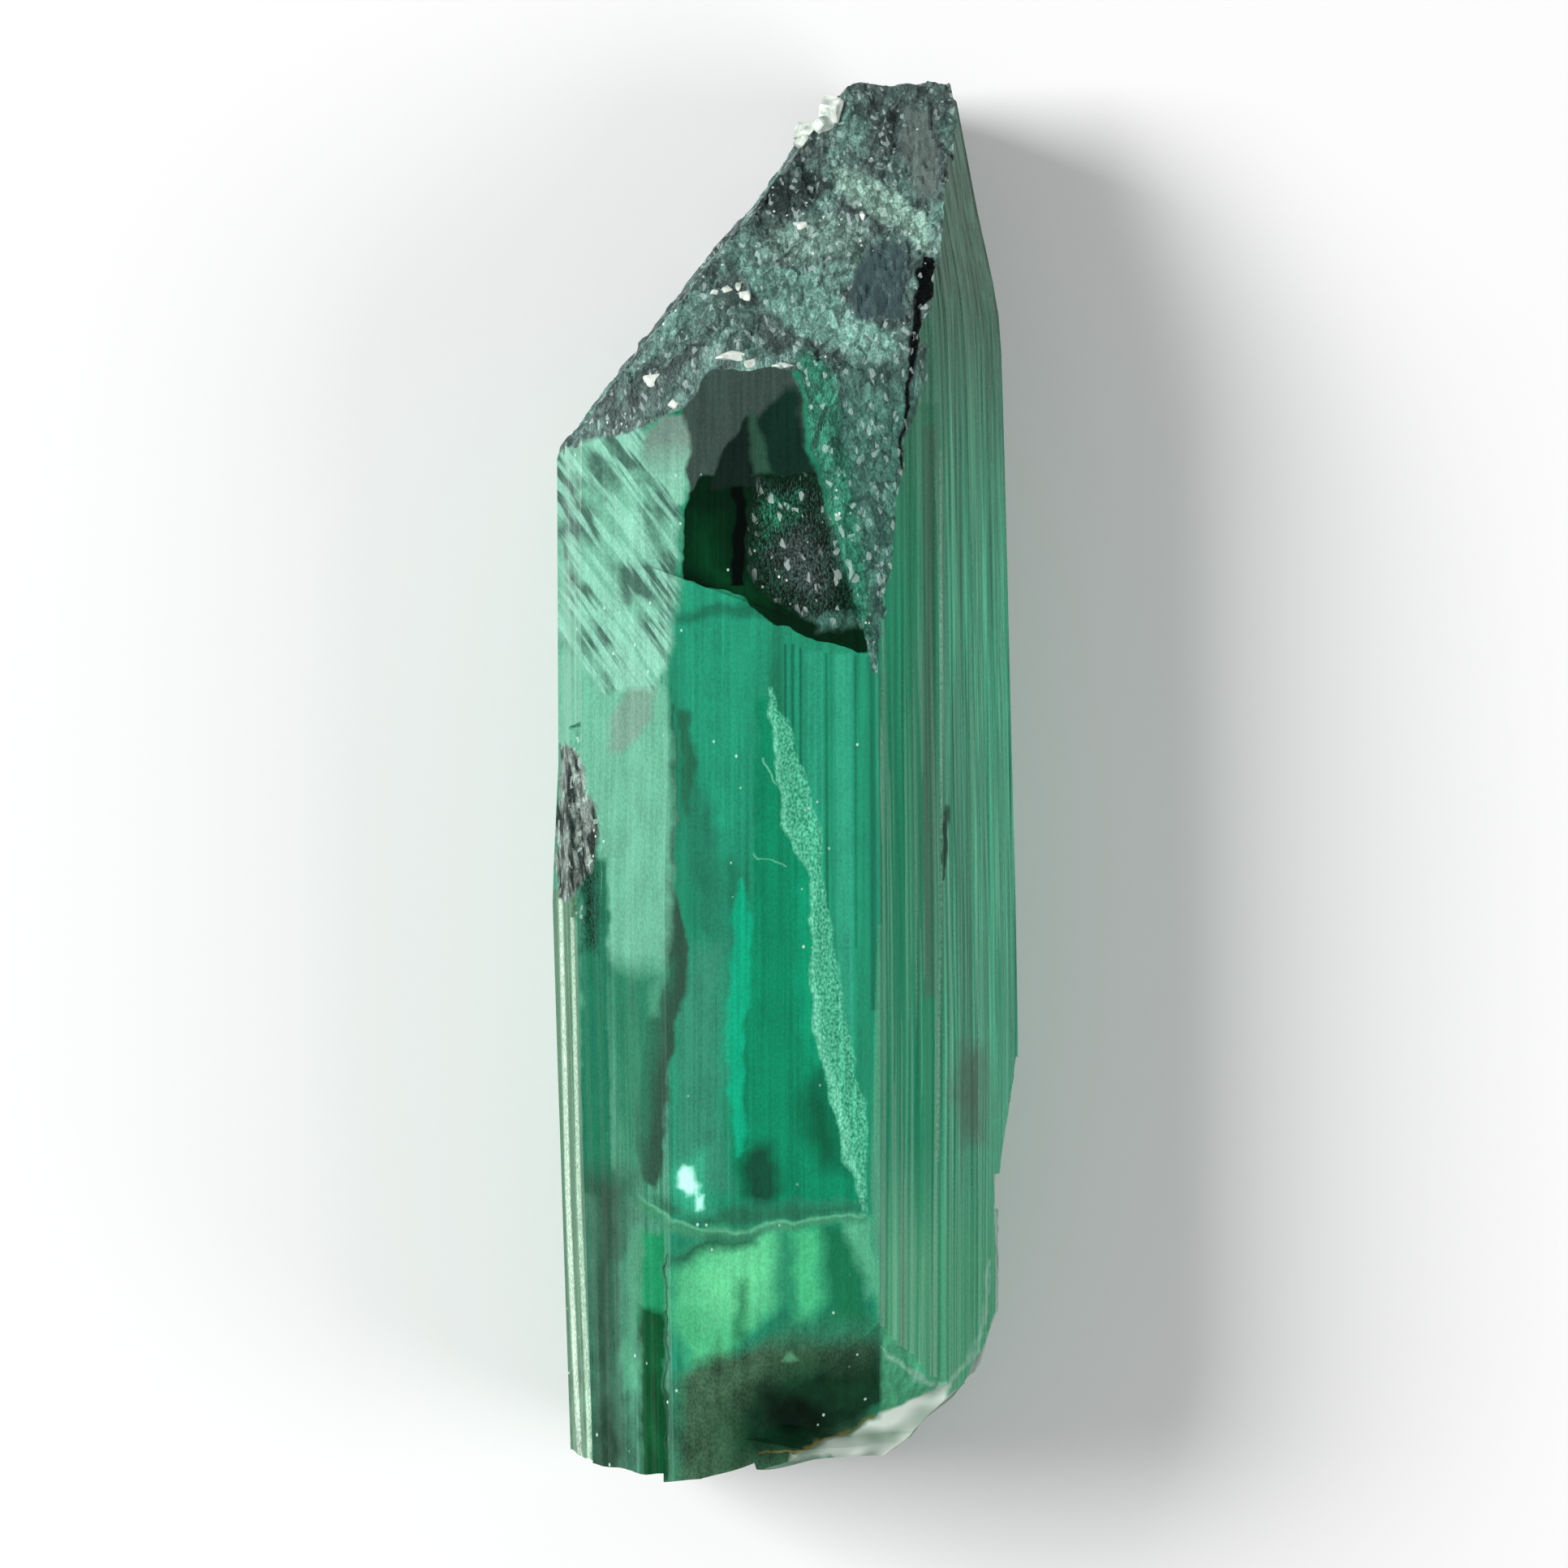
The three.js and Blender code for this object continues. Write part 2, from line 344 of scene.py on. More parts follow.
def makeCrystal():
    crystal = makePrism()
    giveKinds(crystal, grown)
    for name, shape in slabs.items():
        takeAway(crystal, makeSlab(**shape))
        print("cut", name, "-", len(crystal.data.polygons), "faces")
    crystal = keepLargest(crystal)
    crystal.name = "crystal"
    crystal.data.name = "crystal"
    kinds = crystal.data.attributes.new("kind", "FLOAT", "FACE")
    kinds.data.foreach_set("value", [float(p.material_index) for p in crystal.data.polygons])
    crystal.data.transform(Matrix.Translation(-Vector(middle)))
    crystal.data.transform(Matrix.Scale(millimetre, 4))
    makeActive(crystal)
    bpy.ops.object.shade_smooth_by_angle(angle=math.radians(18))
    print("crystal", len(crystal.data.polygons), "faces, box in mm", *(crystal.dimensions / millimetre))
    return crystal


crystal = makeCrystal()


# Material
class Wire:
    def __init__(self, tree, socket):
        self.tree = tree
        self.socket = socket

    def maths(self, operation, *values):
        return self.tree.node("ShaderNodeMath", {"operation": operation}, dict(enumerate(values)))

    def __add__(self, other):
        return self.maths("ADD", self, other)

    def __radd__(self, other):
        return self.maths("ADD", other, self)

    def __sub__(self, other):
        return self.maths("SUBTRACT", self, other)

    def __rsub__(self, other):
        return self.maths("SUBTRACT", other, self)

    def __mul__(self, other):
        return self.maths("MULTIPLY", self, other)

    def __rmul__(self, other):
        return self.maths("MULTIPLY", other, self)

    def least(self, other):
        return self.maths("MINIMUM", self, other)

    def most(self, other):
        return self.maths("MAXIMUM", self, other)

    def ramp(self, low, high):
        # 0 at low and 1 at high, whichever of them is the larger
        scale = 1 / (high - low)
        settings = {"operation": "MULTIPLY_ADD", "use_clamp": True}
        return self.tree.node("ShaderNodeMath", settings, {0: self, 1: scale, 2: -low * scale})

    def vector(self, operation, *others, output=0):
        inputs = dict(enumerate((self, *others)))
        return self.tree.node("ShaderNodeVectorMath", {"operation": operation}, inputs, output)

    def parts(self):
        split = self.tree.node("ShaderNodeSeparateXYZ", {}, {0: self})
        return [Wire(self.tree, socket) for socket in split.socket.node.outputs]


class Tree:
    def __init__(self, nodeTree):
        self.nodes = nodeTree.nodes
        self.links = nodeTree.links
        self.nodes.clear()

    def node(self, kind, settings=None, inputs=None, output=0):
        node = self.nodes.new(kind)
        for name, value in (settings or {}).items():
            setattr(node, name, value)
        for key, value in (inputs or {}).items():
            if isinstance(value, Wire):
                self.links.new(value.socket, node.inputs[key])
            else:
                node.inputs[key].default_value = value
        return Wire(self, node.outputs[output]) if node.outputs else None

    def setStops(self, ramp, stops):
        while len(ramp.elements) < len(stops):
            ramp.elements.new(1.0)
        for element, (position, color) in zip(ramp.elements, stops):
            element.position = position
            element.color = color

    def mixed(self, mask, first, second):
        inputs = {0: mask, 6: first, 7: second}
        return self.node("ShaderNodeMix", {"data_type": "RGBA"}, inputs, output=2)

    def between(self, mask, first, second):
        return self.node("ShaderNodeMix", {"data_type": "FLOAT"}, {0: mask, 2: first, 3: second})

    def toned(self, color, level):
        return self.node("ShaderNodeVectorMath", {"operation": "SCALE"}, {0: color, 3: level})

    def blended(self, mask, first, second):
        return self.node("ShaderNodeMixShader", {}, {0: mask, 1: first, 2: second})


def newMaterial(name):
    material = bpy.data.materials.new(name)
    material.use_nodes = True
    return material


def shown(red, green, blue):
    # a colour as a screen shows it, from 0 to 255, turned into the light that it stands for
    def light(level):
        share = level / 255
        return share / 12.92 if share < 0.04 else ((share + 0.055) / 1.055) ** 2.4

    return (light(red), light(green), light(blue), 1.0)


glass = {
    "tint": (0.96, 1.0, 0.98, 1.0),
    "ior": 1.63,
    "color": (0.0, 0.88, 0.74, 1.0),
    "density": 240.0,
    "inner gloss": 0.04,  # of what lies in the stone, which the clear surface already shines over
}
outlineShift = 16  # keeps the edges of an outline positive in a colour ramp


class StoneTree(Tree):
    def __init__(self, nodeTree, pattern=0.0):
        super().__init__(nodeTree)
        self.pattern = pattern
        here = self.node("ShaderNodeTexCoord", output="Object")
        self.place = here.vector("MULTIPLY_ADD", (1 / millimetre,) * 3, middle)
        self.x, self.y, self.z = self.place.parts()
        drift = self.node(
            "ShaderNodeTexNoise", {}, {"Vector": self.place, "Scale": 1.6, "Detail": 2.0}, output="Color"
        )
        shift = (outlineShift - 0.2, outlineShift - 0.2, 0.0)
        drift = drift.vector("MULTIPLY_ADD", (0.4, 0.4, 0.0), shift)
        self.wobblyX, self.wobblyY, _ = self.place.vector("ADD", drift).parts()
        self.straightX, self.straightY = self.x + outlineShift, self.y + outlineShift
        self.lines = self.grain(0.09, 9.0, 2.0, detail=2.0)
        self.bands = self.grain(0.45, 14.0, 7.0, detail=1.0)
        self.grit = self.grain(0.045, 0.07, 1.0, detail=1.0)

    def part(self, name, finish, *choices, pattern=0.0):
        # a finish in a small tree of its own, which is quick to set up; with a pattern of its own
        # it is only worked out where it shows
        group = bpy.data.node_groups.new(name, "ShaderNodeTree")
        group.interface.new_socket("Surface", in_out="OUTPUT", socket_type="NodeSocketShader")
        surface = finish(StoneTree(group, pattern), *choices)
        leave = group.nodes.new("NodeGroupOutput")
        group.links.new(surface.socket, leave.inputs[0])
        return self.node("ShaderNodeGroup", {"node_tree": group})

    def edges(self, share, outline):
        # the ramp has a small tree of its own too
        first, last = outline[0][0], outline[-1][0]
        stops = [
            ((spot - last) / (first - last), (low + outlineShift, high + outlineShift, 0, 1))
            for spot, low, high in reversed(outline)
        ]
        group = bpy.data.node_groups.new("outline", "ShaderNodeTree")
        group.interface.new_socket("Share", in_out="INPUT", socket_type="NodeSocketFloat")
        group.interface.new_socket("Edges", in_out="OUTPUT", socket_type="NodeSocketColor")
        enter = group.nodes.new("NodeGroupInput")
        ramp = group.nodes.new("ShaderNodeValToRGB")
        leave = group.nodes.new("NodeGroupOutput")
        self.setStops(ramp.color_ramp, stops)
        group.links.new(enter.outputs[0], ramp.inputs["Fac"])
        group.links.new(ramp.outputs["Color"], leave.inputs[0])
        return self.node("ShaderNodeGroup", {"node_tree": group}, {0: share}).parts()[:2]

    def stretched(self, across, along, seed, lean, deep=None):
        spot = self.place
        if lean:
            turn = (0, 0, math.radians(lean))
            spot = self.node("ShaderNodeMapping", {}, {"Vector": spot, "Rotation": turn})
        sizes = (1 / across, 1 / along, 1 / (deep or across))
        return spot.vector("MULTIPLY_ADD", sizes, (seed + self.pattern,) * 3)

    def grain(self, across, along, seed=0.0, detail=2.0, lean=0.0, low=0.3, high=0.7, deep=None):
        spot = self.stretched(across, along, seed, lean, deep)
        inputs = {"Vector": spot, "Scale": 1.0, "Detail": detail}
        return self.node("ShaderNodeTexNoise", {}, inputs).ramp(low, high)

    def cells(self, across, along, seed, output, lean=0.0, feature="F1"):
        inputs = {"Vector": self.stretched(across, along, seed, lean), "Scale": 1.0}
        return self.node("ShaderNodeTexVoronoi", {"feature": feature}, inputs, output)

    def band(self, outline, soft=0.05, way="standing"):
        # the outline is a list of y, left and right, from its top down; that of a lying band is
        # a list of x, low and high, from its right to its left; a straight one has no wobble
        sides = {
            "standing": (self.wobblyY, self.wobblyX),
            "lying": (self.wobblyX, self.wobblyY),
            "straight": (self.straightY, self.straightX),
        }
        run, side = sides[way]
        first, last = (end + outlineShift for end in (outline[0][0], outline[-1][0]))
        low, high = self.edges(run.ramp(last, first), outline)
        across = (side - low).least(high - side)
        within = (run - last).least(first - run)
        return across.least(within).ramp(-soft, soft)


class Finish:
    def __init__(self, tree, coat, solid):
        self.tree = tree
        self.coat = coat
        self.solid = solid

    def layMarks(self, marks):
        for _, color, solid, soft, outline, *way in marks:
            if isinstance(color[0], tuple):
                color = self.tree.mixed(self.tree.grit, *(shown(*tone) for tone in color))
            else:
                color = shown(*color)
            self.lay(self.tree.band(outline, soft, *way), color, solid)

    def lay(self, mask, coat, solid=None):
        self.coat = self.tree.mixed(mask, self.coat, coat)
        if solid is not None:
            self.solid = self.tree.between(mask, self.solid, solid)

    def shader(self, rough, height=None, strength=0.5):
        shared = {"Roughness": rough, "IOR": glass["ior"]}
        if height is not None:
            bump = {"Strength": strength, "Distance": 0.03 * millimetre, "Height": height}
            shared["Normal"] = self.tree.node("ShaderNodeBump", {}, bump)
        clear = self.tree.node(
            "ShaderNodeBsdfPrincipled",
            {},
            {"Base Color": glass["tint"], "Transmission Weight": 1.0, **shared},
        )
        coat = {"Base Color": self.coat, "Specular IOR Level": glass["inner gloss"], **shared}
        coated = self.tree.node("ShaderNodeBsdfPrincipled", {}, coat)
        return self.tree.blended(self.solid, clear, coated)


# What shows in and on the clear front face, down the crystal: its colour, or the two colours
# that its grit lies between, how solid it is, how soft its edge is, and its outline in millimetres
frontMarks = [
    ("window, right half", (34, 170, 128), 0.5, 0.2, [
        (3.3, 0.1, 2.1), (-4, 0.5, 2.2), (-9.3, 0.9, 2.2)]),
    ("bright upper left", (36, 176, 134), 0.55, 0.3, [
        (4.4, -2.4, -0.8), (3.3, -2.4, -0.3), (1.8, -2.3, -0.6), (-0.2, -1.8, -0.7),
        (-1.6, -1.2, -0.8)]),
    ("fold under the pane", (28, 132, 100), 0.6, 0.08, [
        (-0.2, 3.35, 3.6), (-0.7, 3.5, 3.8), (-1.4, 3.45, 3.75), (-2.35, 3.3, 3.5)], "lying"),
    ("first dark line", (16, 108, 82), 0.7, 0.02, [(2.9, -0.02, 0.04), (0.8, -0.02, 0.04)], "straight"),
    ("second dark line", (16, 114, 86), 0.7, 0.02, [(2.9, 0.13, 0.2), (0.6, 0.13, 0.2)], "straight"),
    ("third dark line", (16, 110, 84), 0.7, 0.02, [(2.8, 0.3, 0.36), (0.2, 0.3, 0.36)], "straight"),
    ("bright line", (44, 172, 134), 0.6, 0.03, [(2.75, 0.44, 0.8), (-6.0, 0.6, 0.82)], "straight"),
    ("long dark line", (18, 112, 84), 0.75, 0.02, [(2.7, 0.84, 0.9), (-8.8, 0.88, 0.94)], "straight"),
    ("second bright line", (52, 176, 138), 0.6, 0.04, [
        (2.7, 1.02, 1.4), (-6.5, 1.12, 1.44)], "straight"),
    ("fine dark line", (24, 122, 92), 0.7, 0.02, [(2.65, 1.45, 1.51), (-3.5, 1.47, 1.52)], "straight"),
    ("line by the flank", (24, 114, 88), 0.7, 0.03, [(2.6, 1.78, 1.9), (-4.8, 1.8, 1.94)], "straight"),
    ("deep streak", (4, 138, 98), 0.7, 0.08, [
        (1.75, -0.6, -0.2), (-0.6, -0.65, -0.05), (-1.7, -0.65, 0.45), (-2.65, -0.7, 0.6),
        (-4.7, -1.1, 0.6), (-6.4, -1.2, 0.95), (-8.8, -1.05, 1.55)]),
    ("emerald ribbon", (10, 166, 124), 0.8, 0.05, [
        (-2.0, -0.95, -0.9), (-2.6, -1.05, -0.75), (-3.3, -1.15, -0.65),
        (-5.7, -1.25, -0.9), (-7.3, -1.1, -0.8), (-7.9, -0.95, -0.9)]),
    ("emerald right", (4, 156, 112), 0.7, 0.15, [
        (-0.9, 0.1, 0.45), (-2.6, 0.25, 0.55), (-4.4, 0.3, 0.6), (-6.0, 0.5, 0.9)]),
    ("dark spot", (16, 74, 54), 0.8, 0.18, [
        (-7.6, -0.55, -0.3), (-8.1, -0.95, -0.15), (-8.6, -0.9, -0.15),
        (-8.95, -0.65, -0.3)]),
    ("dark patch by the veil", (6, 96, 66), 0.75, 0.25, [
        (-6.05, 0.65, 0.75), (-6.75, 0.4, 0.95), (-7.4, 0.4, 1.05), (-8.1, 0.75, 1.35)]),
    ("grey shade", (36, 132, 102), 0.7, 0.12, [
        (0.05, -2.2, -1.9), (-0.6, -2.2, -1.5), (-2, -2.05, -1.25), (-3, -1.75, -1.15),
        (-3.7, -1.5, -1.1)]),
    ("pale shade", (56, 146, 116), 0.7, 0.2, [
        (-3.4, -1.95, -1.3), (-5.0, -2.3, -1.3), (-7.0, -2.4, -1.3), (-8.6, -2.3, -1.1)]),
    ("brown streak", (36, 108, 80), 0.7, 0.06, [
        (1.5, -2.22, -2.0), (0.4, -2.2, -1.9), (-0.6, -2.15, -2.0)]),
    ("brown wedge", (46, 78, 64), 0.9, 0.05, [
        (1.6, -2.35, -2.28), (-0.6, -2.38, -2.26), (-1.55, -2.42, -2.26),
        (-2.05, -2.52, -2.35), (-2.75, -2.55, -2.15), (-3.75, -2.6, -2),
        (-4.45, -2.72, -2.05), (-4.95, -2.9, -2.2), (-6.15, -3.08, -2.45),
        (-7.8, -3.15, -2.5), (-8.5, -3.0, -2.7)]),
    ("veil", ((40, 136, 104), (94, 194, 156)), 0.85, 0.03, [
        (1.9, -0.35, -0.28), (1.3, -0.25, 0.05), (0.55, -0.2, 0.3), (0.1, -0.15, 0.45),
        (-0.5, -0.1, 0.6), (-1.1, 0.05, 0.75), (-1.55, 0.3, 0.8), (-2.05, 0.55, 0.8),
        (-2.55, 0.55, 0.9), (-3.5, 0.55, 1.1), (-4.95, 0.55, 1.25), (-5.65, 0.75, 1.4),
        (-6.6, 0.95, 1.65), (-7.55, 1.15, 1.7), (-8.5, 1.55, 1.72), (-9.0, 1.65, 1.74)]),
    ("bright edge of the veil", ((66, 166, 130), (124, 210, 176)), 0.85, 0.05, [
        (1.9, -0.36, -0.3), (0.55, -0.2, -0.12), (-0.5, -0.1, 0.0), (-1.1, 0.05, 0.14),
        (-2.05, 0.55, 0.6), (-3.5, 0.55, 0.62), (-4.95, 0.55, 0.74), (-5.65, 0.75, 0.9),
        (-6.6, 0.95, 1.15), (-7.55, 1.15, 1.35), (-9.0, 1.65, 1.7)]),
    ("bevel by the flank", (80, 152, 120), 0.8, 0.04, [
        (-3.0, 1.96, 2.2), (-6.6, 1.86, 2.2), (-8.5, 1.8, 2.2), (-10.4, 1.9, 2.2),
        (-11.4, 1.95, 2.2)], "straight"),
    ("shade over the crack", (38, 112, 84), 0.75, 0.15, [
        (1.6, -9.1, -8.85), (0, -9.25, -8.85), (-1.4, -9.4, -8.95), (-2.7, -9.1, -8.7)], "lying"),
    # painted light: the glow, its heart, its middle and its right part stand in for light that the crack
    # sends back through the stone
    ("glow", (76, 180, 126), 0.9, 0.22, [
        (-9.45, -1.5, -0.15), (-9.9, -2.1, -0.12), (-10.4, -2.42, -0.1),
        (-11.0, -2.42, -0.12), (-11.35, -2.4, -0.45), (-11.8, -2.2, -1.0),
        (-12.35, -1.9, -1.3)]),
    # painted light
    ("heart of the glow", (104, 212, 150), 0.9, 0.4, [
        (-9.7, -1.3, -0.4), (-10.3, -1.8, -0.3), (-10.9, -1.9, -0.6), (-11.2, -1.5, -0.9)]),
    # a darker streak in the painted light of the glow
    ("notch in the glow", (44, 132, 88), 0.8, 0.14, [
        (-10.5, -0.95, -0.85), (-11.1, -1.0, -0.8), (-11.7, -1.1, -0.8)]),
    ("green right of the glow", (20, 124, 82), 0.7, 0.2, [
        (-9.3, 0.7, 1.6), (-10.3, 0.8, 1.7), (-11.4, 0.9, 1.8)]),
    # painted light
    ("middle glow", (72, 188, 130), 0.85, 0.2, [
        (-9.35, 0.1, 0.7), (-10.1, 0.15, 0.8), (-10.8, 0.15, 0.8), (-11.3, 0.3, 0.55)]),
    # painted light
    ("right glow", (84, 172, 132), 0.85, 0.14, [
        (-9.15, 1.15, 1.85), (-9.8, 1.4, 1.95), (-10.8, 1.75, 2.05)]),
    ("rim of the crack", (66, 144, 108), 0.8, 0.07, [
        (1.7, -9.24, -9.1), (0.7, -9.3, -9.15), (-0.4, -9.5, -9.27), (-1.5, -9.7, -9.44),
        (-2.4, -9.5, -9.18), (-3.1, -9.0, -8.7), (-3.4, -8.5, -8.2)], "lying"),
    ("crack", (88, 168, 130), 0.85, 0.025, [
        (1.7, -9.14, -9.08), (0.7, -9.19, -9.13), (-0.4, -9.33, -9.26),
        (-1.5, -9.5, -9.42), (-2.4, -9.25, -9.16), (-3.1, -8.77, -8.68),
        (-3.35, -8.26, -8.18)], "lying"),
    # painted shadow under the crack
    ("dark under the crack", (40, 110, 82), 0.8, 0.12, [
        (-0.6, -9.7, -9.5), (-1.6, -9.85, -9.6), (-2.1, -10.15, -9.85),
        (-2.4, -10.2, -10.0)], "lying"),
    # painted highlight: the halo round the glint
    ("glint halo", (58, 176, 138), 0.85, 0.25, [
        (-7.75, -1.8, -1.7), (-8.3, -2.3, -1.7), (-9.0, -2.1, -1.5)]),
    # painted highlight: a glint
    ("glint", (186, 255, 236), 1.0, 0.06, [
        (-8.05, -2.05, -1.95), (-8.25, -2.18, -1.88), (-8.5, -2.18, -1.84),
        (-8.66, -2.0, -1.86)]),
    # painted highlight: a smaller glint
    ("small glint", (176, 250, 228), 1.0, 0.05, [(-8.72, -1.86, -1.74), (-8.92, -1.82, -1.7)]),
    ("scratch", (110, 190, 158), 0.8, 0.015, [(0.45, -0.48, -0.44), (-0.1, -0.2, -0.17)]),
    ("long scratch", (90, 176, 142), 0.8, 0.012, [
        (0.05, -1.85, -1.82), (-0.3, -1.68, -1.65), (-0.65, -1.5, -1.47)], "lying"),
    ("foot shade", ((54, 88, 66), (68, 102, 76)), 0.9, 0.45, [
        (-11.5, 0.1, 2.1), (-11.9, -1.0, 2.2), (-12.5, -2.4, 2.25), (-14.05, -2.5, 1.5),
        (-15.2, -2.5, 0)]),
    # painted shade: the shade of the foot deepens here
    ("foot dark", (20, 58, 36), 0.92, 0.5, [
        (-12.1, 0.3, 2.0), (-13.05, -1.0, 2.6), (-13.55, -1.3, 1.6), (-14.3, -1.15, -0.1)]),
    # painted shade, darkest in the foot
    ("foot black", (9, 26, 17), 0.92, 0.35, [
        (-12.7, -0.7, -0.1), (-13.3, -0.6, 1.0), (-13.9, 0.1, 0.9)]),
    ("pale spot in the foot", (84, 148, 108), 0.9, 0.06, [(-11.95, 0.05, 0.15), (-12.15, -0.05, 0.25)]),
    ("brown rim", (112, 104, 52), 0.85, 0.025, [
        (1.9, -13.41, -13.37), (1.0, -13.84, -13.8), (0.3, -14.05, -14.0),
        (-0.55, -14.09, -14.05)], "lying"),
    ("pale thread", (178, 200, 186), 0.9, 0.02, [
        (0.32, 8.3, 8.34), (0.1, 8.6, 8.65), (-0.3, 8.76, 8.8), (-0.85, 8.72, 8.78)], "lying"),
    ("smooth hollow", (54, 70, 64), 0.94, 0.05, [
        (8.75, -1.6, 0.2), (8.3, -2.05, 0.35), (7.8, -2.15, 0.4), (6.85, -2.05, 0.5),
        (6.0, -2.05, 0.8)]),
    # painted shade in the hollow
    ("dark of the hollow", (14, 40, 31), 0.96, 0.1, [
        (8.3, 0.05, 0.3), (7.7, -0.6, 0.35), (7.0, -1.1, 0.5), (6.3, -1.5, 0.7)]),
    # painted shade: the dark pane stands in for dark surroundings seen through the clear stone
    ("dark pane", (2, 28, 12), 0.96, 0.03, [
        (6.45, -1.7, 0.6), (6.1, -2.0, 0.75), (5.5, -2.1, 0.95), (4.5, -2.15, 1.25),
        (4.25, -2.1, 1.35), (3.9, -0.9, 1.45), (3.4, -0.35, 1.6), (3.1, 0.35, 1.65),
        (2.75, 1.5, 1.72)]),
    ("green in the pane", (2, 54, 26), 0.92, 0.35, [
        (5.4, -1.8, -1.5), (4.6, -2.0, -1.3), (3.9, -0.9, -0.5)]),
    ("black slit", (1, 6, 4), 0.98, 0.03, [(6.7, -1.1, -0.85), (4.1, -1.12, -0.85)]),
    ("left shard", (16, 30, 26), 0.96, 0.04, [
        (7.7, -0.85, -0.75), (7.25, -1.1, -0.55), (6.85, -1.35, -0.45), (6.2, -1.6, -0.35)]),
    ("pale shard", (42, 74, 60), 0.92, 0.06, [
        (7.8, -0.8, -0.7), (7.2, -0.75, -0.45), (6.5, -0.6, -0.25)]),
]

# The same for the left flank
leftMarks = [
    ("pale flank", (106, 178, 148), 0.85, 0.12, [
        (2.8, -5.2, -3.7), (1.95, -5.2, -2.5), (1.1, -5.2, -2.4), (-0.6, -4.1, -2.35),
        (-2.3, -3.9, -2.4), (-3.7, -3.7, -2.5), (-4.85, -3.2, -2.7)]),
    ("grey blotch", (118, 158, 138), 0.88, 0.12, [
        (2.7, -2.9, -2.6), (2.0, -3.3, -2.75), (1.3, -3.7, -2.8), (0.6, -3.8, -3.5)]),
    ("low pale flank", (44, 124, 94), 0.85, 0.3, [
        (-3.9, -3.9, -2.5), (-5.5, -3.75, -2.8), (-7.5, -3.5, -3.0), (-8.6, -3.3, -3.1)]),
    ("dark strip", (30, 112, 84), 0.85, 0.06, [
        (-1.65, -4.2, -3.85), (-2.15, -4.3, -3.75), (-4, -4.35, -3.75),
        (-8.25, -4.35, -3.65), (-8.8, -4.3, -3.6)]),
    ("black in the strip", ((6, 30, 24), (30, 84, 64)), 0.9, 0.14, [
        (-1.2, -4.25, -4.05), (-2.1, -4.35, -3.95), (-3.6, -4.3, -4.0)]),
    ("low flank", (44, 76, 59), 0.9, 0.45, [
        (-8.3, -4.35, -3.2), (-9.45, -4.3, -3.25), (-10.8, -4.3, -3.4),
        (-12.5, -4.25, -3.4), (-15.5, -4.25, -3.0)]),
    ("pale column", (74, 144, 112), 0.88, 0.1, [
        (-9.3, -3.15, -3.0), (-10.15, -3.4, -3.0), (-11.5, -3.45, -3.0),
        (-12.9, -3.4, -3.05)]),
    ("green column", (26, 138, 90), 0.88, 0.1, [(-9.45, -3.0, -2.5), (-11.4, -3.05, -2.48)]),
    ("dark column", (8, 72, 38), 0.92, 0.08, [(-11.1, -3.05, -2.5), (-15.5, -3.0, -2.45)]),
    ("edge of the column", (22, 60, 40), 0.9, 0.02, [(-10.0, -2.49, -2.46), (-14.6, -2.49, -2.46)]),
    # painted reflection: the steep left facet mirroring the left lamp, as a strip
    ("cream strip", (84, 124, 98), 0.92, 0.03, [
        (-2.3, -6, -4.46), (-4, -6, -4.4), (-9, -6, -4.3), (-16, -6, -4.05)], "straight"),
    # painted reflection: a bright line in the lamp's reflection
    ("cream line", ((150, 190, 164), (216, 238, 216)), 0.92, 0.02, [
        (-2.5, -4.87, -4.77), (-9, -4.72, -4.6), (-13.5, -4.52, -4.4), (-15, -4.4, -4.3)], "straight"),
    # painted reflection: a second bright line in the lamp's reflection
    ("inner cream line", ((130, 176, 148), (190, 220, 194)), 0.92, 0.02, [
        (-2.9, -4.58, -4.5), (-9, -4.45, -4.34), (-13.5, -4.24, -4.12), (-15, -4.2, -4.1)], "straight"),
]

# Where the etched ground is greener, greyer or smoother than its slate grey, and where painted shade
# darkens it
etchedMarks = [
    ("upper green", (138, 174, 160), 0.9, 0.12, [
        (3.05, 11.2, 11.95), (2.5, 11.7, 12.5), (1.9, 12.1, 12.95), (1.1, 12.6, 13.2)], "lying"),
    ("left green", (108, 138, 128), 0.9, 0.25, [
        (1.7, 11.1, 11.8), (1.0, 11.2, 12.2), (0.4, 11.0, 11.9), (-0.4, 11.2, 11.8)], "lying"),
    ("middle green", (108, 150, 138), 0.9, 0.1, [
        (2.4, 8.7, 9.3), (1.45, 9.0, 9.95), (0.6, 9.3, 10.7), (-0.25, 9.9, 10.95),
        (-1.0, 10.8, 11.1)], "lying"),
    ("green stripe", (44, 112, 90), 0.92, 0.12, [
        (9.0, 0.3, 0.6), (8.5, 0.3, 1.0), (7.6, 0.4, 1.15), (6.55, 0.6, 1.35),
        (5.5, 0.9, 1.55), (4.6, 1.2, 1.75), (3.0, 1.6, 1.8)]),
    # painted shade, as on the dark pane of the front face
    ("ground of the pane", ((3, 12, 9), (14, 52, 37)), 0.97, 0.12, [
        (6.6, -0.8, 0.7), (5.0, -0.9, 1.0), (3.5, -0.5, 1.6)]),
    ("green of the patch", ((6, 42, 28), (26, 100, 74)), 0.97, 0.2, [
        (6.0, -0.4, 0.3), (5.4, -0.5, 0.1), (5.0, -0.5, -0.2)]),
    ("grey of the patch", ((14, 26, 22), (58, 72, 70)), 0.97, 0.3, [
        (5.3, 0.1, 0.4), (4.8, -0.2, 0.7), (4.3, 0.1, 0.9), (3.9, 0.5, 0.8)]),
    ("dark facets", (48, 62, 60), 0.92, 0.1, [(13.2, -0.1, 0.7), (12.7, -0.4, 1.0), (12.2, -0.7, 0.5)]),
    # painted shade in the deep gap between the wedge and the right flank
    ("black gap", (3, 6, 6), 0.98, 0.03, [
        (11.1, 2.95, 3.2), (10.8, 2.8, 3.25), (10.4, 2.8, 3.2), (10.0, 2.7, 2.85),
        (9.4, 2.6, 2.85), (8.7, 2.6, 2.7), (8.2, 2.5, 2.62), (6.6, 2.36, 2.44)]),
]

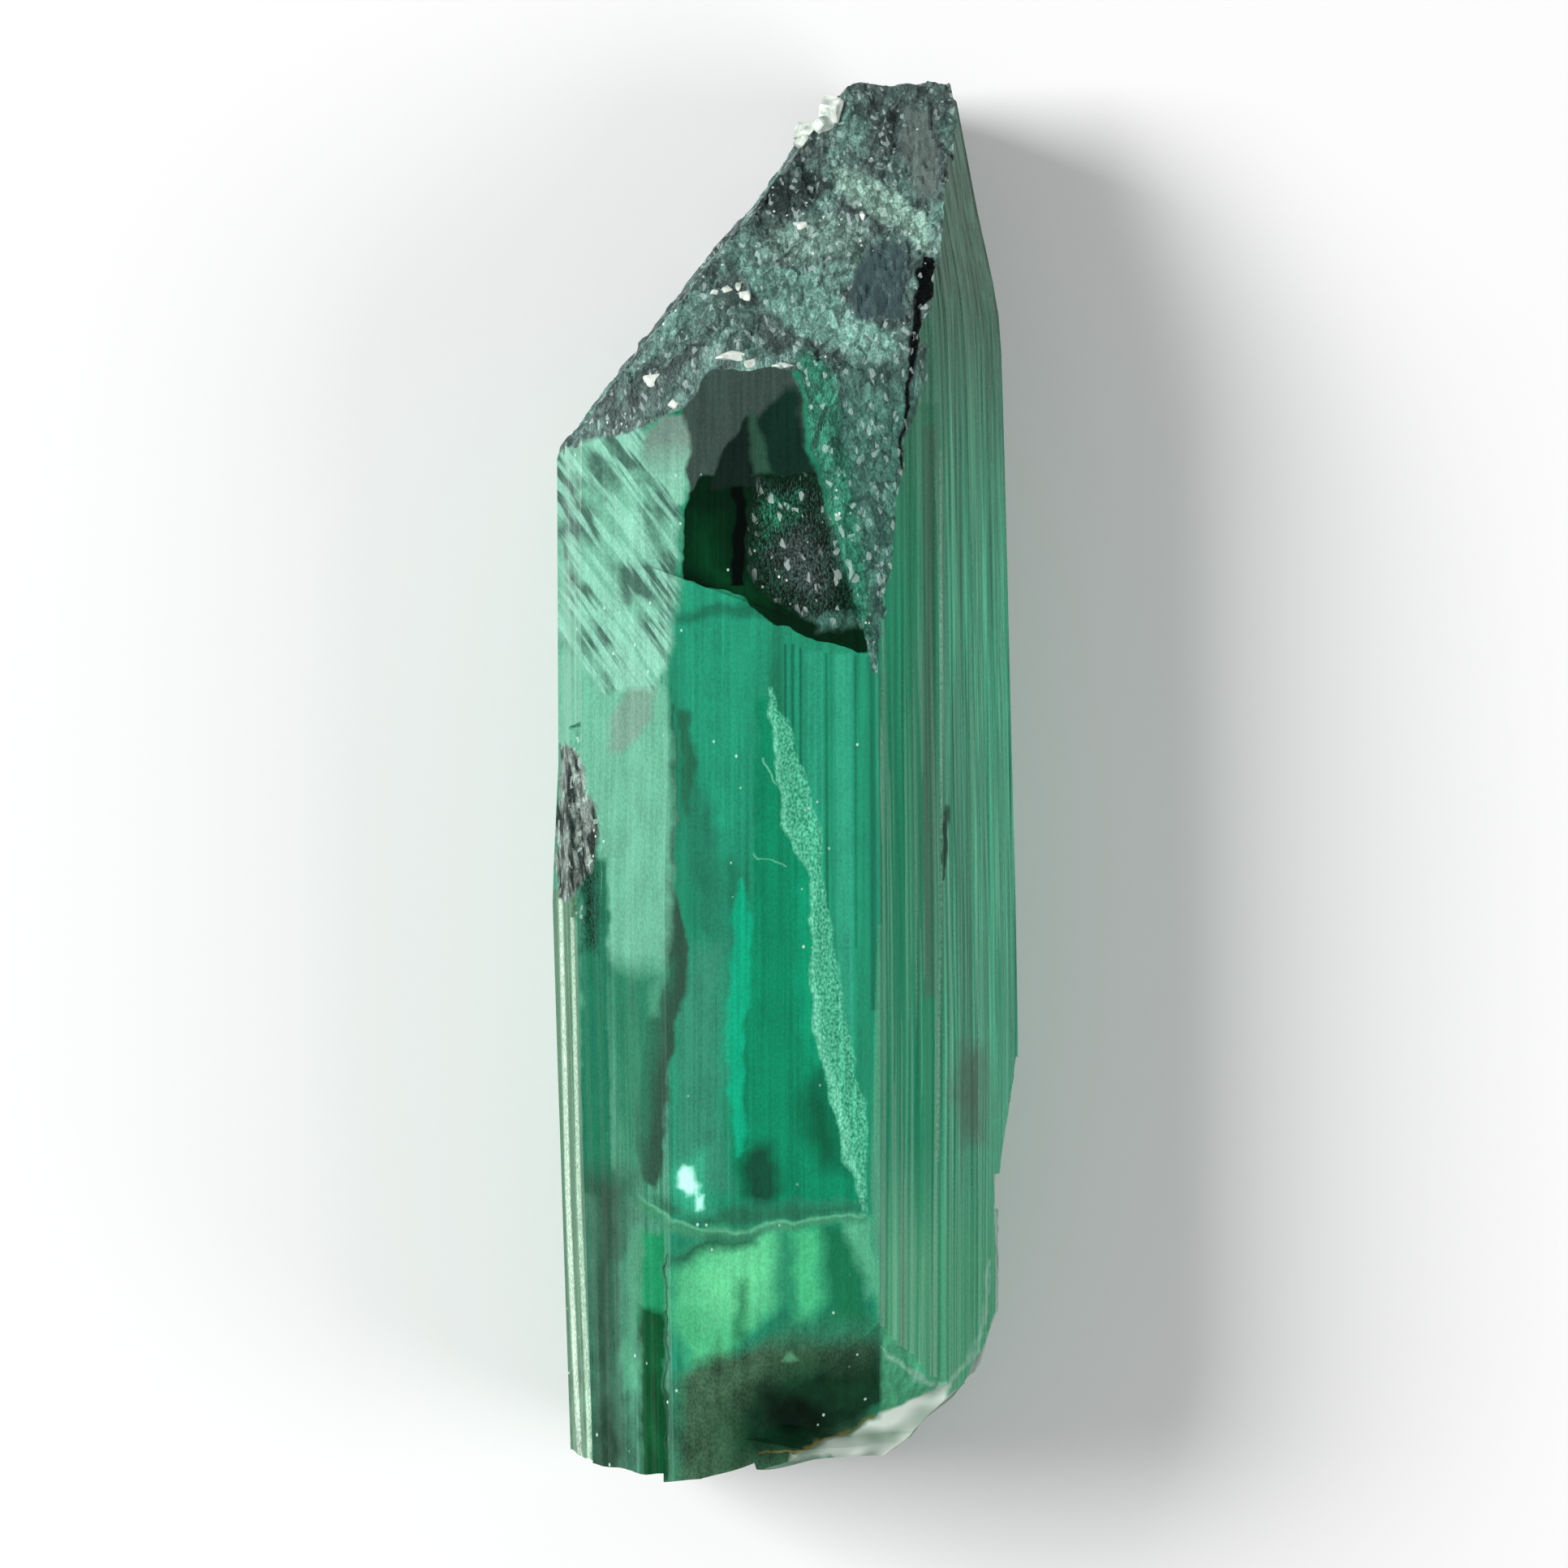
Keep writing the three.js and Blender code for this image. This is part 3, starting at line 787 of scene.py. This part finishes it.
# The same for the right flank
flankMarks = [
    ("inner band", (34, 144, 106), 0.75, 0.06, [
        (8.0, 1.9, 3.25), (-1.0, 1.9, 3.25), (-9.0, 1.9, 3.2), (-11.5, 1.9, 3.2)], "straight"),
    ("shade by the ridge", (66, 118, 92), 0.8, 0.1, [
        (7.5, 2.95, 3.2), (-1.0, 2.85, 3.2), (-4.5, 2.95, 3.15)], "straight"),
    ("ridge", ((96, 146, 116), (138, 184, 154)), 0.85, 0.02, [
        (7.0, 3.27, 3.33), (-3.0, 3.27, 3.33), (-8.0, 3.2, 3.25)], "straight"),
    # painted shade in a narrow gap beside the ridge
    ("dark gap", (22, 66, 52), 0.9, 0.03, [(-0.5, 3.36, 3.44), (-1.2, 3.36, 3.5), (-2.1, 3.32, 3.42)]),
    ("brown patch", (78, 112, 94), 0.7, 0.3, [(-5.7, 3.8, 4.2), (-6.6, 3.6, 4.3), (-7.6, 3.9, 4.2)]),
    ("end of the flank", (78, 166, 124), 0.75, 1.2, [(-8.8, 1.0, 5.6), (-14.5, 1.0, 5.6)]),
    ("rim, right", (122, 180, 152), 0.85, 0.04, [
        (-10.2, 4.36, 4.46), (-11.5, 4.18, 4.3), (-12.3, 3.85, 3.98), (-12.85, 3.25, 3.4)]),
    ("rim, left", (122, 180, 152), 0.85, 0.04, [
        (3.35, -12.9, -12.74), (2.75, -12.6, -12.45), (2.15, -12.1, -11.98),
        (1.9, -11.6, -11.5)], "lying"),
]

streakedFlank = [
    (8.0, -4.6, -3.6), (7.55, -4.9, -2.9), (6.85, -5, -2.3), (5.6, -5.2, -2.15),
    (3.45, -5.2, -2.3), (2.6, -4.4, -2.4), (1.9, -3.9, -2.8),
]
paleCorner = [
    (7.7, -2.6, -2.1), (7.2, -2.9, -2.0), (6.9, -3.0, -2.0), (6.2, -2.5, -2.05),
    (5.85, -2.3, -2.1),
]
etchedShoulder = [
    (9.6, -5, 0.7), (8.9, -5, 0.5), (8.72, -5, 0.2), (8.6, -5, -1.5), (8.3, -5, -1.85),
    (7.9, -5, -2.05), (7.6, -5, -2.8), (7.3, -5, -3.6),
]
etchedWedge = [
    (9.2, 0.2, 3), (8.6, 0.35, 3), (6.9, 0.6, 2.5), (5.5, 1.0, 2.3), (4.2, 1.35, 2.1),
    (2.9, 1.7, 1.85),
]
etchedPatch = [(6.3, -0.5, 0.6), (5.4, -0.7, 1.0), (4.4, -0.6, 1.25), (3.8, -0.1, 1.4), (3.3, 0.8, 1.5)]
darkChip = [
    (0.8, -4.8, -4.6), (0.3, -4.85, -4.3), (-0.4, -4.9, -4.05), (-1.2, -4.95, -3.95),
    (-1.9, -4.95, -4.1), (-2.5, -4.8, -4.5),
]
slateFacet = [(11.5, 1.9, 2.5), (11.0, 1.6, 2.7), (10.4, 1.45, 2.6), (9.8, 1.45, 2.5)]
tipFacet = [(14.5, 2.6, 3.2), (13.6, 2.5, 3.3), (12.9, 2.7, 3.25), (12.5, 2.9, 3.2)]
whiteChip = [
    (3.45, -13.2, -12.8), (3.0, -13.7, -12.92), (2.4, -14.2, -13.2), (1.8, -14.6, -13.5),
    (1.4, -14.6, -13.7), (1.0, -14.2, -13.85), (0.5, -14.16, -14.0), (0.1, -14.2, -14.12),
]


# Where the front face is divided from its top down, and at its left edge. A spot is worked out
# only from the marks that can reach its own part, which keeps the render quick
frontRows = (16, 3.2, -8.7, -16)
frontEdge = -2.43


def reaching(marks, left, right, low, high):
    # the marks that can show between these sides, with room for their soft and wobbly edges
    found = []
    for mark in marks:
        soft, outline = mark[3], mark[4]
        along = [spot for spot, _, _ in outline]
        across = [edge for _, *edges in outline for edge in edges]
        xs, ys = (along, across) if "lying" in mark[5:] else (across, along)
        room = soft + 0.25
        if left - room < max(xs) and min(xs) < right + room:
            if low - room < max(ys) and min(ys) < high + room:
                found.append(mark)
    return found


def ridgedFinish(tree, marks):
    lines, bands = tree.lines, tree.bands
    dark = tree.mixed(bands, shown(44, 140, 108), shown(56, 152, 118))
    finish = Finish(tree, tree.mixed(lines, dark, shown(88, 182, 146)), 0.55 + 0.25 * lines)
    finish.layMarks(marks)
    greyTop = tree.y.ramp(3.5, 11.0) * tree.x.ramp(1.5, 2.0)
    finish.lay(greyTop * 0.85, shown(78, 100, 88), 0.8)
    finish.coat = tree.toned(finish.coat, 0.52 + lines * 0.5 + bands * 0.25 + tree.grit * 0.2)
    return finish.shader(0.1 + lines * 0.08)


def frontPart(tree, onLeft, low, high):
    lines, bands = tree.lines, tree.bands
    if onLeft:
        flank = tree.mixed(lines, shown(56, 128, 100), shown(92, 168, 138))
        finish = Finish(tree, flank, 0.7 + bands * 0.2)
        finish.layMarks(reaching(frontMarks + leftMarks, -6, frontEdge, low, high))
    else:
        window = tree.mixed(lines * 0.35 + bands * 0.65, shown(16, 152, 112), shown(38, 180, 138))
        finish = Finish(tree, window, 0.3 + bands * 0.2)
        finish.layMarks(reaching(frontMarks + leftMarks, frontEdge, 2.1, low, high))
    if high > 1.5 and low < 8.5:
        streaks = tree.grain(0.16, 2.2, 6.0, detail=3.0, lean=-36, low=0.47, high=0.57, deep=4.0)
        pitted = tree.grain(0.7, 1.1, 3.0, detail=4.0, lean=-30, low=0.4, high=0.56, deep=3.0)
        ground = tree.mixed(pitted, shown(66, 104, 90), shown(112, 176, 150))
        streaked = tree.mixed(streaks * 0.8, ground, shown(142, 206, 182))
        finish.lay(tree.band(streakedFlank, 0.1), streaked, 0.88)
    if high > 5.5 and low < 8.5:
        corner = tree.mixed(tree.y.ramp(7.2, 6.4), shown(112, 140, 128), shown(128, 190, 164))
        finish.lay(tree.band(paleCorner, 0.06), corner, 0.9)
    streaky = tree.grain(0.11, 7.0, 5.0, detail=1.0, low=0.46, high=0.54)
    clouds = tree.grain(0.5, 0.9, 4.0, detail=2.0)
    calm = 0.4 if onLeft else tree.y.ramp(-9.0, -9.6) * -0.6 + 1
    level = 0.64 + clouds * 0.16 + tree.grit * 0.26 + (streaky * 0.16 + lines * 0.16) * calm
    if low < -11:
        level = level + tree.y.ramp(-11.0, -12.5) * (clouds - 0.5) * 0.6
    finish.coat = tree.toned(finish.coat, level)
    some = tree.grain(1.4, 2.0, 9.0, detail=1.0, low=0.5, high=0.56)
    flecks = tree.cells(0.42, 0.5, 8.0, "Distance").ramp(0.09, 0.05) * some
    finish.lay(flecks, shown(176, 216, 200), 0.9)
    return finish.shader(0.04 + lines * 0.06)


def frontFinish(tree):
    inWindow = tree.x.ramp(frontEdge - 0.05, frontEdge + 0.05)
    front = None
    for high, low in zip(frontRows, frontRows[1:]):
        left = tree.part("left flank", frontPart, True, low, high)
        window = tree.part("window", frontPart, False, low, high)
        row = tree.blended(inWindow, left, window)
        front = tree.blended(tree.y.ramp(high + 0.001, high - 0.001), front, row) if front else row
    return front


def etchedFinish(tree, marks):
    facets, tilt, _ = tree.cells(0.24, 0.44, 3.0, "Color", lean=22).parts()
    chips, _, _ = tree.cells(0.09, 0.17, 5.0, "Color", lean=-14).parts()
    cracks = tree.cells(0.36, 0.6, 7.0, "Distance", lean=16, feature="DISTANCE_TO_EDGE").ramp(0.0, 0.1)
    patches = tree.grain(0.8, 2.0, 4.0, detail=3.0, lean=35, low=0.45, high=0.6)
    finish = Finish(tree, tree.mixed(patches, shown(74, 90, 87), shown(96, 130, 121)), 0.9)
    finish.lay(tree.y.ramp(9.4, 7.6) * tree.x.ramp(0.0, 0.8), shown(68, 112, 100))
    finish.layMarks(marks)
    smoothFacets = 0.0
    if marks:
        smoothFacets = tree.band(slateFacet, 0.06).most(tree.band(tipFacet, 0.1))
        smooth = tree.mixed(tree.y.ramp(11.5, 12.5), shown(66, 86, 87), shown(96, 110, 106))
        finish.lay(smoothFacets, smooth)
    shards = tree.grain(0.16, 0.9, 11.0, detail=2.0, lean=-12, low=0.42, high=0.58, deep=0.5)
    onChip = tree.x.ramp(-3.8, -4.0) * tree.y.ramp(2, 1.5)
    finish.lay(onChip, tree.mixed(shards, shown(20, 30, 28), shown(124, 140, 132)))
    # painted light and shade: each facet, chip and grain gets its own lighter or darker level, and the
    # cracks between them are painted darker
    light = facets * 0.5 + chips * 0.5 + tree.grit * 0.45
    rough = (light * light * 1.2 + 0.42) * (cracks * 0.4 + 0.6)
    finish.coat = tree.toned(finish.coat, tree.between(smoothFacets, rough, tree.lines * 0.5 + 0.75))
    # painted highlights on the brightest chips
    paintedGlints = chips.ramp(0.88, 0.9) * cracks * (1 - smoothFacets)
    finish.lay(paintedGlints * 0.55, shown(176, 192, 188))
    flecks = tree.cells(0.22, 0.26, 8.0, "Distance").ramp(0.15, 0.08)
    some = tree.grain(0.9, 1.2, 9.0, detail=1.0, low=0.55, high=0.6)
    finish.lay(flecks * some, shown(214, 226, 218), 0.95)
    return finish.shader(0.28, tilt * 0.6 + tree.grit * 0.4, 0.9)


def brokenFinish(tree):
    pale = tree.grain(1.5, 1.5, 3.0, detail=1.0)
    finish = Finish(tree, tree.mixed(pale, shown(60, 104, 80), shown(150, 190, 168)), 0.35 + pale * 0.3)
    return finish.shader(0.05)


def chipFinish(tree):
    # the chip is white as a frosted break, with painted reflected light on it; its grey patches are
    # painted shade
    chipLightAndShade = tree.grain(1.1, 0.7, 6.0, detail=1.0, low=0.35, high=0.6)
    finish = Finish(tree, tree.mixed(chipLightAndShade, shown(128, 152, 134), shown(222, 234, 224)), 0.92)
    return finish.shader(0.12)


def stoneMaterial():
    material = newMaterial("green_tourmaline")
    tree = StoneTree(material.node_tree)
    kind = tree.node("ShaderNodeAttribute", {"attribute_name": "kind"}, output="Fac")
    isEtched = kind.ramp(0.4, 0.6) * kind.ramp(1.6, 1.4)
    isBroken = kind.ramp(1.4, 1.6) * kind.ramp(2.6, 2.4)
    # below its widest edges the stone is plain, and its marks are on its upper sides alone
    plain = tree.part("plain side", ridgedFinish, [], pattern=40)
    lower = tree.blended(isBroken, plain, tree.part("lower break", brokenFinish, pattern=40))
    etched = tree.part("lower etched side", etchedFinish, [], pattern=50)
    lower = tree.blended(isEtched, lower, etched)
    etchedAreas = tree.band(etchedWedge, 0.05).most(tree.band(etchedPatch, 0.2))
    etchedAreas = etchedAreas.most(tree.band(etchedShoulder, 0.06)).most(tree.band(darkChip, 0.06))
    onFront = tree.x.ramp(2.08, 1.98)
    upper = tree.blended(onFront, tree.part("right flank", ridgedFinish, flankMarks), frontFinish(tree))
    upper = tree.blended(isBroken, upper, tree.part("upper break", brokenFinish))
    etched = tree.part("etched end", etchedFinish, etchedMarks)
    upper = tree.blended(isEtched.most(etchedAreas), upper, etched)
    upper = tree.blended(tree.band(whiteChip, 0.05, "lying"), upper, tree.part("pale chip", chipFinish))
    surface = tree.blended(tree.z.ramp(3.7, 4.1), lower, upper)
    inside = tree.node(
        "ShaderNodeVolumeAbsorption", {}, {"Color": glass["color"], "Density": glass["density"]}
    )
    tree.node("ShaderNodeOutputMaterial", {}, {"Surface": surface, "Volume": inside})
    print("stone material", len(bpy.data.node_groups), "parts")
    return material


crystal.data.materials.clear()
crystal.data.materials.append(stoneMaterial())
for polygon in crystal.data.polygons:
    polygon.material_index = 0
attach(crystal, "root")
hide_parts("tourmaline_crystal")


# Pale mineral grains that sit in the etched end
grains = {
    "sink": 0.25,  # how far a grain is let into the stone, as a share of its size
    "seed": 6,
    "edge": 4.3,  # how high those sit that reach out past the edge
    # x, y, size along x, y and z
    "places": [
        (0.55, 14.0, 0.36, 0.22, 0.3),
        (0.98, 14.4, 0.26, 0.32, 0.3),
        (0.42, 13.75, 0.2, 0.14, 0.2),
        (0.8, 14.1, 0.22, 0.2, 0.26),
        (-0.85, 10.25, 0.14, 0.12, 0.1),
        (-1.25, 10.4, 0.1, 0.08, 0.08),
        (-1.0, 10.45, 0.08, 0.1, 0.08),
        (-1.5, 10.35, 0.07, 0.06, 0.06),
        (0.35, 11.85, 0.12, 0.08, 0.08),
        (1.65, 12.05, 0.08, 0.1, 0.08),
        (-1.1, 8.95, 0.3, 0.1, 0.08),
        (-0.75, 8.8, 0.12, 0.1, 0.08),
        (-2.8, 8.45, 0.16, 0.14, 0.1),
        (-2.35, 7.95, 0.12, 0.08, 0.06),
        (0.0, 8.75, 0.2, 0.05, 0.05),
    ],
}


def makeGrain(x, y, *size):
    shift = Vector((middle[0], middle[1], 0))
    top = (Vector((x, y, 20)) - shift) * millimetre
    found, spot, _, _ = crystal.ray_cast(top, Vector((0, 0, -1)))
    deselectAll()
    bpy.ops.mesh.primitive_cube_add(size=1.7)
    grain = bpy.context.object
    editWhole(grain)
    bpy.ops.mesh.bevel(offset=0.22, segments=1)
    bpy.ops.object.mode_set(mode="OBJECT")
    spot = spot if found else Vector((top.x, top.y, grains["edge"] * millimetre))
    turn = Euler((0.5 * noise.cell(Vector((x, y, 1))), 0.4, 3 * x + y))
    for vertex in grain.data.vertices:
        where = vertex.co * 1.1 + Vector((x, y, grains["seed"]))
        vertex.co *= 1 + 0.5 * noise.noise(where)
        vertex.co.rotate(turn)
        vertex.co = Vector(a * b for a, b in zip(vertex.co, size)) * millimetre + spot
        vertex.co.z -= grains["sink"] * size[2] * millimetre
    return grain


def grainMaterial():
    material = newMaterial("pale_feldspar")
    tree = Tree(material.node_tree)
    here = tree.node("ShaderNodeTexCoord", output="Object").vector("MULTIPLY", (1 / millimetre,) * 3)
    cloud = tree.node("ShaderNodeTexNoise", {}, {"Vector": here, "Scale": 4.0, "Detail": 3.0})
    cloud = cloud.ramp(0.35, 0.65)
    color = tree.mixed(cloud, shown(150, 168, 158), shown(236, 242, 232))
    finish = tree.node("ShaderNodeBsdfPrincipled", {}, {"Base Color": color, "Roughness": 0.35})
    tree.node("ShaderNodeOutputMaterial", {}, {"Surface": finish})
    return material


def makeGrains():
    pieces = [makeGrain(*place) for place in grains["places"]]
    deselectAll()
    for piece in pieces:
        piece.select_set(True)
    bpy.context.view_layer.objects.active = pieces[0]
    bpy.ops.object.join()
    joined = bpy.context.object
    joined.name = "pale_grains"
    joined.data.name = "pale_grains"
    joined.data.materials.clear()
    joined.data.materials.append(grainMaterial())
    print("pale grains", len(joined.data.polygons), "faces")
    return joined


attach(makeGrains(), "root")


# Stage
studio = {
    "floorSize": 4,
    "floorDrop": 0.00004,
    "sky": 0.34,
    # name, place, width and height, power
    "lamps": [
        ("left softbox", (-0.35, 0.08, 0.3), (0.2, 0.2), 2.5),
        ("right softbox", (0.35, -0.1, 0.25), (0.25, 0.25), 0.8),
    ],
    "lens": 150,
    "sensor": 36,
    "view": 0.03363,  # what the frame spans at the height of the crystal's middle
    "middle": 0.005,
    "aim": (-0.000007, -0.000214),  # what the middle of the frame looks at, from the crystal's origin
}


def makeFloor():
    deselectAll()
    bpy.ops.mesh.primitive_plane_add(size=studio["floorSize"], location=(0, 0, -studio["floorDrop"]))
    floor = bpy.context.object
    floor.name = "floor"
    material = newMaterial("pale_floor")
    tree = Tree(material.node_tree)
    paper = tree.node(
        "ShaderNodeBsdfPrincipled", {}, {"Base Color": (0.8, 0.8, 0.8, 1), "Roughness": 0.9}
    )
    tree.node("ShaderNodeOutputMaterial", {}, {"Surface": paper})
    floor.data.materials.append(material)


def makeLamp(name, place, size, power):
    lamp = bpy.data.lights.new(name, "AREA")
    lamp.shape = "RECTANGLE"
    lamp.size, lamp.size_y = size
    lamp.energy = power
    holder = bpy.data.objects.new(name, lamp)
    holder.location = place
    holder.rotation_euler = Vector(place).to_track_quat("Z", "Y").to_euler()
    bpy.context.scene.collection.objects.link(holder)


def makeCamera():
    camera = bpy.data.objects.new("camera", bpy.data.cameras.new("camera"))
    camera.data.lens = studio["lens"]
    camera.data.sensor_width = studio["sensor"]
    camera.data.clip_start = 0.001
    height = studio["middle"] + studio["view"] * studio["lens"] / studio["sensor"]
    camera.location = (*studio["aim"], height)
    bpy.context.scene.collection.objects.link(camera)
    bpy.context.scene.camera = camera


def makeSky():
    sky = bpy.data.worlds.new("studio")
    sky.use_nodes = True
    sky.node_tree.nodes["Background"].inputs["Color"].default_value = (1, 1, 1, 1)
    sky.node_tree.nodes["Background"].inputs["Strength"].default_value = studio["sky"]
    bpy.context.scene.world = sky


makeFloor()
for lamp in studio["lamps"]:
    makeLamp(*lamp)
makeCamera()
makeSky()
bpy.context.scene.view_settings.view_transform = "Standard"
